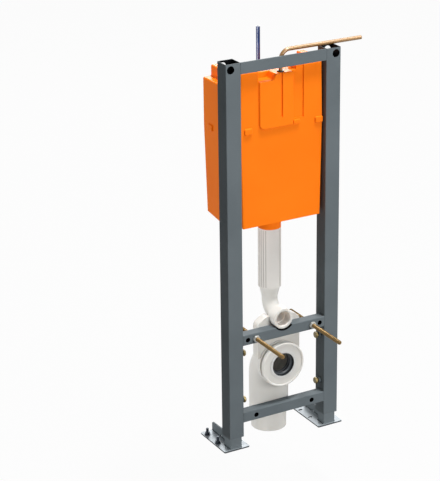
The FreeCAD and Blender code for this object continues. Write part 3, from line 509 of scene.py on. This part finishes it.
def hex_nut(bm, seat, way, flats, height, bore):
    """A hexagon nut with chamfered corners, from its seat along a way; a bolt head where the bore is 0."""
    seat = Vector(seat)
    turn = Vector(way).to_track_quat("Z", "Y").to_matrix()
    count = 2 * NUT_CORNERS
    chamfer = flats * NUT_CHAMFER
    dip = chamfer * NUT_FACE_DIP
    face_r = flats / 2 - dip
    corner_r = flats / 2 / math.cos(math.pi / NUT_CORNERS)
    angles = [2 * math.pi * k / count for k in range(count)]

    def wall(lift, corner_lift):
        """A ring along a chamfer's edge, deeper at the corners than in the middle of each flat."""
        return [(angle, corner_r if k % 2 == 0 else flats / 2, corner_lift if k % 2 == 0 else lift)
                for k, angle in enumerate(angles)]

    def circle(radius, along):
        return [(angle, radius, along) for angle in angles]

    rings = [circle(face_r, 0.0), wall(dip, chamfer), wall(height - dip, height - chamfer),
             circle(face_r, height)]
    if bore:
        rings += [circle(bore / 2, height), circle(bore / 2, 0.0)]
    rings = [place_ring(bm, seat, turn, ring) for ring in rings]
    for i, ring in enumerate(rings):
        if i or bore:
            bridge(bm, rings[i - 1], ring)
    if not bore:
        bm.faces.new(rings[0])
        bm.faces.new(rings[-1])


def washer(bm, seat, way, width, thick, bore):
    outer = width / 2
    inner = bore / 2
    edge = WASHER_ROUND
    outline = [(inner, 0.0), (outer, 0.0), (outer, thick - edge), (outer - edge, thick), (inner, thick)]
    lathe(bm, seat, way, outline, smooth=False)


def weld(bm, start, end):
    """A rippled bead between two points."""
    start = Vector(start)
    way = Vector(end) - start
    turn = way.to_track_quat("Z", "Y").to_matrix()
    steps = max(2, round(way.length / WELD_STEP))
    last_ring = None
    for i in range(steps + 1):
        ripple = 1 - WELD_RIPPLE * (i % WELD_RIPPLE_STEPS) / WELD_RIPPLE_STEPS
        at_end = i == 0 or i == steps
        radius = WELD_SIZE * (WELD_RIPPLE if at_end else ripple)
        along = way.length * i / steps
        spots = [(2 * math.pi * k / WELD_SIDES, radius, along) for k in range(WELD_SIDES)]
        ring = place_ring(bm, start, turn, spots)
        if last_ring is None:
            bm.faces.new(list(reversed(ring)))
        else:
            bridge(bm, last_ring, ring, smooth=True)
        last_ring = ring
    bm.faces.new(last_ring)


def weld_path(bm, points):
    for start, end in zip(points, points[1:]):
        weld(bm, start, end)


# Fasteners

def make_pan_studs(materials):
    for side in ("left", "right"):
        node = side + "_pan_stud"
        low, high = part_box(node)
        middle = (low + high) / 2
        radius = (high.x - low.x) / 2
        bm = bmesh.new()
        threaded_rod(bm, (middle.x, low.y, middle.z), (middle.x, high.y, middle.z), radius, STUD_PITCH)
        piece = add_piece(side + "_threaded_stud", bm, materials["brass"], "brass", "frame")
        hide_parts(node)


def make_stud_nuts(materials):
    """A plain nut in front of the middle crossbar, and a nut on its washer behind it."""
    bar_low, bar_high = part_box("middle_crossbar")
    for side in ("left", "right"):
        node = side + "_stud_nuts"
        low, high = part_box(node)
        stud_low, stud_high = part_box(side + "_pan_stud")
        middle = (low + high) / 2
        bore = (stud_high.x - stud_low.x) * STUD_BORE
        front = bar_low.y - low.y
        rear = high.y - bar_high.y
        flats = (high.x - low.x) * STUD_NUT_FLATS
        bm = bmesh.new()
        hex_nut(bm, (middle.x, bar_low.y, middle.z), FRONT, flats, front, bore)
        seat = bar_high.y + STUD_WASHER
        washer(bm, (middle.x, bar_high.y, middle.z), BACK, high.x - low.x, STUD_WASHER, bore)
        hex_nut(bm, (middle.x, seat, middle.z), BACK, flats, rear - STUD_WASHER, bore)
        piece = add_piece(side + "_chamfered_stud_nuts", bm, materials["zinc_steel"], "zinc_steel", "frame")
        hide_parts(node)


def floor_bolt_places(node):
    """Radius and middles of the two bolts of a foot, and their lower and upper ends."""
    low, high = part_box(node)
    radius = (high.x - low.x) / 2
    x = (low.x + high.x) / 2
    return radius, [(x, low.y + radius), (x, high.y - radius)], low.z, high.z


def make_floor_bolts(materials):
    for side in ("left", "right"):
        node = side + "_floor_bolts"
        radius, places, bottom, top = floor_bolt_places(node)
        nut_node = side + "_floor_nuts"
        nut_low, nut_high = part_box(nut_node)
        bolts = bmesh.new()
        nuts = bmesh.new()
        width = nut_high.x - nut_low.x
        for x, y in places:
            threaded_rod(bolts, (x, y, bottom), (x, y, top), radius, FLOOR_PITCH)
            washer(nuts, (x, y, nut_low.z), UP, width, FLOOR_WASHER, 2 * radius)
            hex_nut(nuts, (x, y, nut_low.z + FLOOR_WASHER), UP, width * FLOOR_NUT_FLATS,
                    nut_high.z - nut_low.z - FLOOR_WASHER, 2 * radius)
        steel = materials["dark_steel"]
        piece = add_piece(side + "_threaded_floor_bolts", bolts, steel, "dark_steel", side + "_foot")
        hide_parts(node)
        piece = add_piece(side + "_chamfered_floor_nuts", nuts, steel, "dark_steel", side + "_foot")
        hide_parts(nut_node)


def make_clamps(materials):
    """Screws with a hexagon head, each in a nut that is welded to the upright."""
    for side, sign in (("left", -1), ("right", 1)):
        node = side + "_clamp_bolts"
        nut_node = side + "_clamp_nuts"
        low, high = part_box(node)
        nut_low, nut_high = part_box(nut_node)
        flats = high.y - low.y
        corner_r = flats / 2 / math.cos(math.pi / NUT_CORNERS)
        tip_x = high.x if sign > 0 else low.x
        head_x = low.x if sign > 0 else high.x
        face_x = nut_high.x if sign > 0 else nut_low.x
        y = (low.y + high.y) / 2
        radius = flats * CLAMP_SHANK / 2
        bolts = bmesh.new()
        nuts = bmesh.new()
        for z in (low.z + corner_r, high.z - corner_r):
            threaded_rod(bolts, (head_x + sign * CLAMP_HEAD, y, z), (tip_x, y, z), radius, CLAMP_PITCH)
            hex_nut(bolts, (head_x + sign * CLAMP_HEAD, y, z), (-sign, 0, 0), flats, CLAMP_HEAD, bore=0.0)
            hex_nut(nuts, (face_x, y, z), (-sign, 0, 0), flats, nut_high.x - nut_low.x, 2 * radius)
        piece = add_piece(side + "_clamp_screws", bolts, materials["dull_brass"], "brass", "frame")
        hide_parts(node)
        piece = add_piece(side + "_weld_nuts", nuts, materials["grey_steel"], "grey_steel", "frame")
        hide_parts(nut_node)


# Welds of the stand and the feet

def make_stand_welds(materials):
    """Beads above, below and behind each crossbar's ends, and behind the top bar's ends."""
    bm = bmesh.new()
    for node in ("middle_crossbar", "lower_crossbar"):
        low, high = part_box(node)
        for x in (low.x, high.x):
            front = low.y + WELD_SIZE
            weld_path(bm, [(x, front, high.z), (x, high.y, high.z), (x, high.y, low.z), (x, front, low.z)])
    low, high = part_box("top_bar")
    for x in (low.x, high.x):
        weld(bm, (x, high.y, low.z), (x, high.y, high.z - WELD_SIZE))
    add_piece("stand_welds", bm, materials["grey_steel"], "grey_steel", "frame")


def make_foot_welds(materials):
    """Beads round the leg and along both sides of the web, on the foot plate."""
    for side in ("left", "right"):
        leg_low, leg_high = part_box(side + "_foot_leg")
        web_low, web_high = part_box(side + "_foot_web")
        top = leg_low.z
        bm = bmesh.new()
        weld_path(bm, [(leg_low.x, leg_low.y, top), (leg_low.x, leg_high.y, top),
                       (leg_high.x, leg_high.y, top), (leg_high.x, leg_low.y, top),
                       (leg_low.x, leg_low.y, top)])
        gap = WEB_GAP / 2
        middle = (web_low.y + web_high.y) / 2
        for x in (web_low.x, web_high.x):
            weld(bm, (x, leg_high.y, top), (x, middle - gap, top))
            weld(bm, (x, middle + gap, top), (x, web_high.y - WELD_SIZE, top))
            weld(bm, (x, leg_high.y, top), (x, leg_high.y, web_high.z - WELD_SIZE))
        add_piece(side + "_foot_welds", bm, materials["sliding_steel"], "grey_steel", side + "_foot")


# Flush sleeve

def make_sleeve(materials):
    """The foam sleeve with upright grooves all round, apart from a smooth strip in front."""
    low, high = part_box("flush_sleeve")
    radius = (high.x - low.x) / 2
    centre = Vector(((low.x + high.x) / 2, (low.y + high.y) / 2, low.z))
    start, end = (math.radians(angle) for angle in SLEEVE_GROOVED)
    step = (end - start) / SLEEVE_GROOVES
    angles = [2 * math.pi * k / SLEEVE_SIDES for k in range(SLEEVE_SIDES)]

    def groove(angle):
        """Depth of the grooves at an angle: V-shaped, one at every step of the grooved stretch."""
        from_start = (angle - start) % (2 * math.pi)
        if end - start + step / 2 < from_start < 2 * math.pi - step / 2:
            return 0.0
        off = abs((from_start + step / 2) % step - step / 2) * radius
        return max(0.0, SLEEVE_GROOVE_DEPTH - off)

    length = high.z - low.z
    bore = radius * SLEEVE_BORE
    outline = ((bore, 0.0, False), (radius, 0.0, False), (radius, SLEEVE_END, False),
               (radius, SLEEVE_END, True), (radius, length - SLEEVE_END, True),
               (radius, length - SLEEVE_END, False), (radius, length, False), (bore, length, False))
    bm = bmesh.new()
    root = root_layer(bm)
    rings = []
    for edge, along, grooved in outline:
        depths = [groove(angle) if grooved else 0.0 for angle in angles]
        ring = place_ring(bm, centre, Matrix.Identity(3),
                          [(angle, edge - depth, along) for angle, depth in zip(angles, depths)])
        for vertex, depth in zip(ring, depths):
            # how deep the groove is here, which sets the painted shade in it
            vertex[root] = depth / SLEEVE_GROOVE_DEPTH
        rings.append(ring)
    for i, ring in enumerate(rings):
        bridge(bm, rings[i - 1], ring)
    piece = add_piece("grooved_sleeve", bm, materials["white_foam"], "white_foam", "frame")
    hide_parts("flush_sleeve")


# Drain seal

def seal_mouth():
    """Middle of the front of the rubber seal."""
    low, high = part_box("drain_seal")
    return (low.x + high.x) / 2, low.y, (low.z + high.z) / 2


def make_seal_lips(materials):
    """Two thin lips that lean inwards in the rubber seal, in a lighter rubber that paints a highlight on
    them.
    """
    bore_r = find_bore("drain_inlet")[1]
    tip_r = bore_r - SEAL_LIP_REACH
    bm = bmesh.new()
    for depth in SEAL_LIP_DEPTHS:
        tip = depth + SEAL_LIP_LENGTH
        outline = [(bore_r, depth), (tip_r, tip), (tip_r, tip + SEAL_LIP_TIP),
                   (bore_r, depth + SEAL_LIP_ROOT)]
        lathe(bm, seal_mouth(), BACK, outline, sides=SEAL_SIDES)
    add_piece("seal_lips", bm, materials["lip_rubber_highlight"], "black_rubber", "frame")


def make_seal_ring(materials):
    """The flat ring that covers the rim of the rubber seal."""
    inner = SEAL_RING_BORE / 2
    outer = SEAL_RING_WIDTH / 2
    edge = WASHER_ROUND
    outline = [(inner, 0.0), (outer, 0.0), (outer - edge, SEAL_RING_THICK), (inner + edge, SEAL_RING_THICK),
               (inner, SEAL_RING_THICK - edge)]
    bm = bmesh.new()
    lathe(bm, seal_mouth(), FRONT, outline, smooth=False, sides=SEAL_SIDES)
    add_piece("seal_ring", bm, materials["white_plastic"], "white_plastic", "frame")


# Cistern

def make_cistern_lug(materials):
    """The block beside the cistern's panel, from rings of (inset, height above the wall)."""
    wall_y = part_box("cistern_shell")[0].y + PANEL_PROUD
    x = (LUG_LEFT + LUG_RIGHT) / 2
    z = (LUG_BOTTOM + LUG_TOP) / 2
    flat_x = (LUG_RIGHT - LUG_LEFT) / 2 - LUG_CORNER
    flat_z = (LUG_TOP - LUG_BOTTOM) / 2 - LUG_CORNER
    bm = bmesh.new()
    rings = []
    for inset, proud in LUG_RINGS:
        ring = []
        for quarter, (side_x, side_z) in enumerate(((1, 1), (-1, 1), (-1, -1), (1, -1))):
            for step in range(LUG_CORNER_STEPS + 1):
                angle = (quarter + step / LUG_CORNER_STEPS) * math.pi / 2
                reach = LUG_CORNER - inset
                spot = (x + side_x * flat_x + reach * math.cos(angle), wall_y - proud,
                        z + side_z * flat_z + reach * math.sin(angle))
                ring.append(bm.verts.new(spot))
        rings.append(ring)
    for first, second in zip(rings, rings[1:]):
        bridge(bm, first, second, smooth=True)
    bm.faces.new(rings[0])
    bm.faces.new(rings[-1])
    add_piece("cistern_lug", bm, materials["orange_plastic"], "orange_plastic", "frame")


# Flush mechanism

def make_mechanism_trim(materials):
    """Bands on the float, nuts on the fill valve and a collar on the rod's socket."""
    bm = bmesh.new()
    low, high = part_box("fill_float")
    x = (low.x + high.x) / 2
    y = (low.y + high.y) / 2
    width = high.x - low.x
    for z in (low.z + BAND_INSET, high.z - BAND_INSET - BAND_HEIGHT):
        washer(bm, (x, y, z), UP, width + 2 * BAND_PROUD, BAND_HEIGHT, width * TRIM_BORE)

    valve_low, valve_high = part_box("fill_valve")
    column = 2 * (x - valve_low.x)
    cap_z = valve_high.z - CAP_DROP - CAP_HEIGHT
    hex_nut(bm, (x, y, cap_z), UP, column * CAP_FLATS, CAP_HEIGHT, column * TRIM_BORE)

    pipe_low, pipe_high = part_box("supply_pipe")
    pipe_y = (pipe_low.y + pipe_high.y) / 2
    pipe_x = pipe_low.x + (pipe_high.y - pipe_low.y) / 2
    way = Vector((pipe_x - x, pipe_y - y, 0)).normalized()
    seat = Vector((x, y, pipe_low.z - ARM_WIDTH / 2)) + way * (column / 2 + ARM_NUT_GAP)
    hex_nut(bm, seat, way, ARM_WIDTH * ARM_NUT_FLATS, ARM_NUT_HEIGHT, ARM_WIDTH * TRIM_BORE)

    rod_low, rod_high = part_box("actuator_rod")
    collar_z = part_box("flush_valve")[1].z + ROD_SOCKET_HEIGHT - BAND_HEIGHT
    washer(bm, ((rod_low.x + rod_high.x) / 2, (rod_low.y + rod_high.y) / 2, collar_z), UP,
           ROD_SOCKET_WIDTH + 2 * BAND_PROUD, BAND_HEIGHT, ROD_SOCKET_WIDTH * TRIM_BORE)
    add_piece("mechanism_trim", bm, materials["white_plastic"], "white_plastic", "frame")


# Camera, light and floor

def make_camera():
    data = bpy.data.cameras.new("photo_camera")
    data.sensor_width = SENSOR
    data.lens = FOCAL_PIXELS * SENSOR / PHOTO_HEIGHT
    data.shift_x = (PHOTO_WIDTH / 2 - CENTRE_PIXEL[0]) / PHOTO_HEIGHT
    data.shift_y = (CENTRE_PIXEL[1] - PHOTO_HEIGHT / 2) / PHOTO_HEIGHT
    data.clip_end = CAMERA_REACH
    camera = bpy.data.objects.new("photo_camera", data)
    camera.location = CAMERA_PLACE
    camera.rotation_euler = (math.radians(90 - CAMERA_PITCH), 0, math.radians(CAMERA_TURN))
    bpy.context.scene.collection.objects.link(camera)
    bpy.context.scene.camera = camera


def add_lamp(name, place, size, power):
    """A square soft box that faces the object."""
    data = bpy.data.lights.new(name, "AREA")
    data.size = size
    data.energy = power
    lamp = bpy.data.objects.new(name, data)
    lamp.location = place
    lamp.rotation_euler = (Vector(LAMP_TARGET) - Vector(place)).to_track_quat("-Z", "Y").to_euler()
    bpy.context.scene.collection.objects.link(lamp)
    return lamp


def add_fill(name, pieces, place, power):
    """A lamp that lights some pieces alone, with no shadow from the others."""
    filled = bpy.data.collections.new(name + "_filled")
    for piece in pieces:
        filled.objects.link(piece)
    fill = add_lamp(name + "_fill", place, FILL_SIZE, power)
    fill.light_linking.receiver_collection = filled
    fill.light_linking.blocker_collection = filled


def make_lamps():
    """Lamps in front, above and behind, and fills for the plastics, the copper and what slides."""
    add_lamp("key", KEY_PLACE, KEY_SIZE, KEY_POWER)
    add_lamp("top", TOP_PLACE, TOP_SIZE, TOP_POWER)
    add_lamp("back", BACK_PLACE, BACK_SIZE, BACK_POWER)
    for name, (slots, place, power) in FILLS.items():
        add_fill(name, [piece for slot in slots for piece in slot_pieces(slot)], place, power)
    add_fill("foot", [nodes[node] for node in SLIDING_NODES], LEFT_FILL, FOOT_FILL_POWER)


def add_seen_factor(tree):
    """1 for what the camera sees directly, or in gloss or glass; 0 for light that reaches the object."""
    path = tree.nodes.new("ShaderNodeLightPath")
    seen = path.outputs["Is Camera Ray"]
    for name in ("Is Glossy Ray", "Is Transmission Ray"):
        seen = add_math(tree, "MAXIMUM", seen, path.outputs[name])
    return seen


def make_world():
    """A dim even light on the object, and plain white where it is seen."""
    world = bpy.data.worlds.new("studio")
    world.use_nodes = True
    tree = world.node_tree
    light = tree.nodes["Background"]
    light.inputs["Color"].default_value = (1, 1, 1, 1)
    light.inputs["Strength"].default_value = WORLD_LIGHT
    white = tree.nodes.new("ShaderNodeBackground")
    white.inputs["Color"].default_value = (1, 1, 1, 1)
    white.inputs["Strength"].default_value = 1.0
    mix = tree.nodes.new("ShaderNodeMixShader")
    tree.links.new(add_seen_factor(tree), mix.inputs["Fac"])
    tree.links.new(light.outputs["Background"], mix.inputs[1])
    tree.links.new(white.outputs["Background"], mix.inputs[2])
    tree.links.new(mix.outputs["Shader"], tree.nodes["World Output"].inputs["Surface"])
    bpy.context.scene.world = world


def make_floor():
    """A pale floor where the feet stand when they are drawn out in full."""
    mesh = bpy.data.meshes.new("floor")
    half = FLOOR_HALF
    z = -max(joint["range_m"][1] for joint in frame["record"]["behaviour"]["joints"])
    corners = [(-half, -half, z), (half, -half, z), (half, half, z), (-half, half, z)]
    mesh.from_pydata(corners, [], [range(len(corners))])
    material, tree, shader = new_material("floor")
    shader.inputs["Base Color"].default_value = (*FLOOR_COLOUR, 1)
    shader.inputs["Roughness"].default_value = FLOOR_ROUGH
    glow = tree.nodes.new("ShaderNodeEmission")
    glow.inputs["Strength"].default_value = 1.0
    mix = tree.nodes.new("ShaderNodeMixShader")
    tree.links.new(add_math(tree, "MULTIPLY", add_seen_factor(tree), FLOOR_GLOW), mix.inputs["Fac"])
    tree.links.new(shader.outputs["BSDF"], mix.inputs[1])
    tree.links.new(glow.outputs["Emission"], mix.inputs[2])
    tree.links.new(mix.outputs["Shader"], tree.nodes["Material Output"].inputs["Surface"])
    mesh.materials.append(material)
    floor = bpy.data.objects.new("floor", mesh)
    bpy.context.scene.collection.objects.link(floor)


materials = make_materials()
dress_nodes(materials)
make_pan_studs(materials)
make_stud_nuts(materials)
make_floor_bolts(materials)
make_clamps(materials)
make_stand_welds(materials)
make_foot_welds(materials)
make_sleeve(materials)
make_seal_lips(materials)
make_seal_ring(materials)
make_cistern_lug(materials)
make_mechanism_trim(materials)
make_camera()
make_lamps()
make_world()
make_floor()
bpy.context.scene.view_settings.view_transform = "Standard"
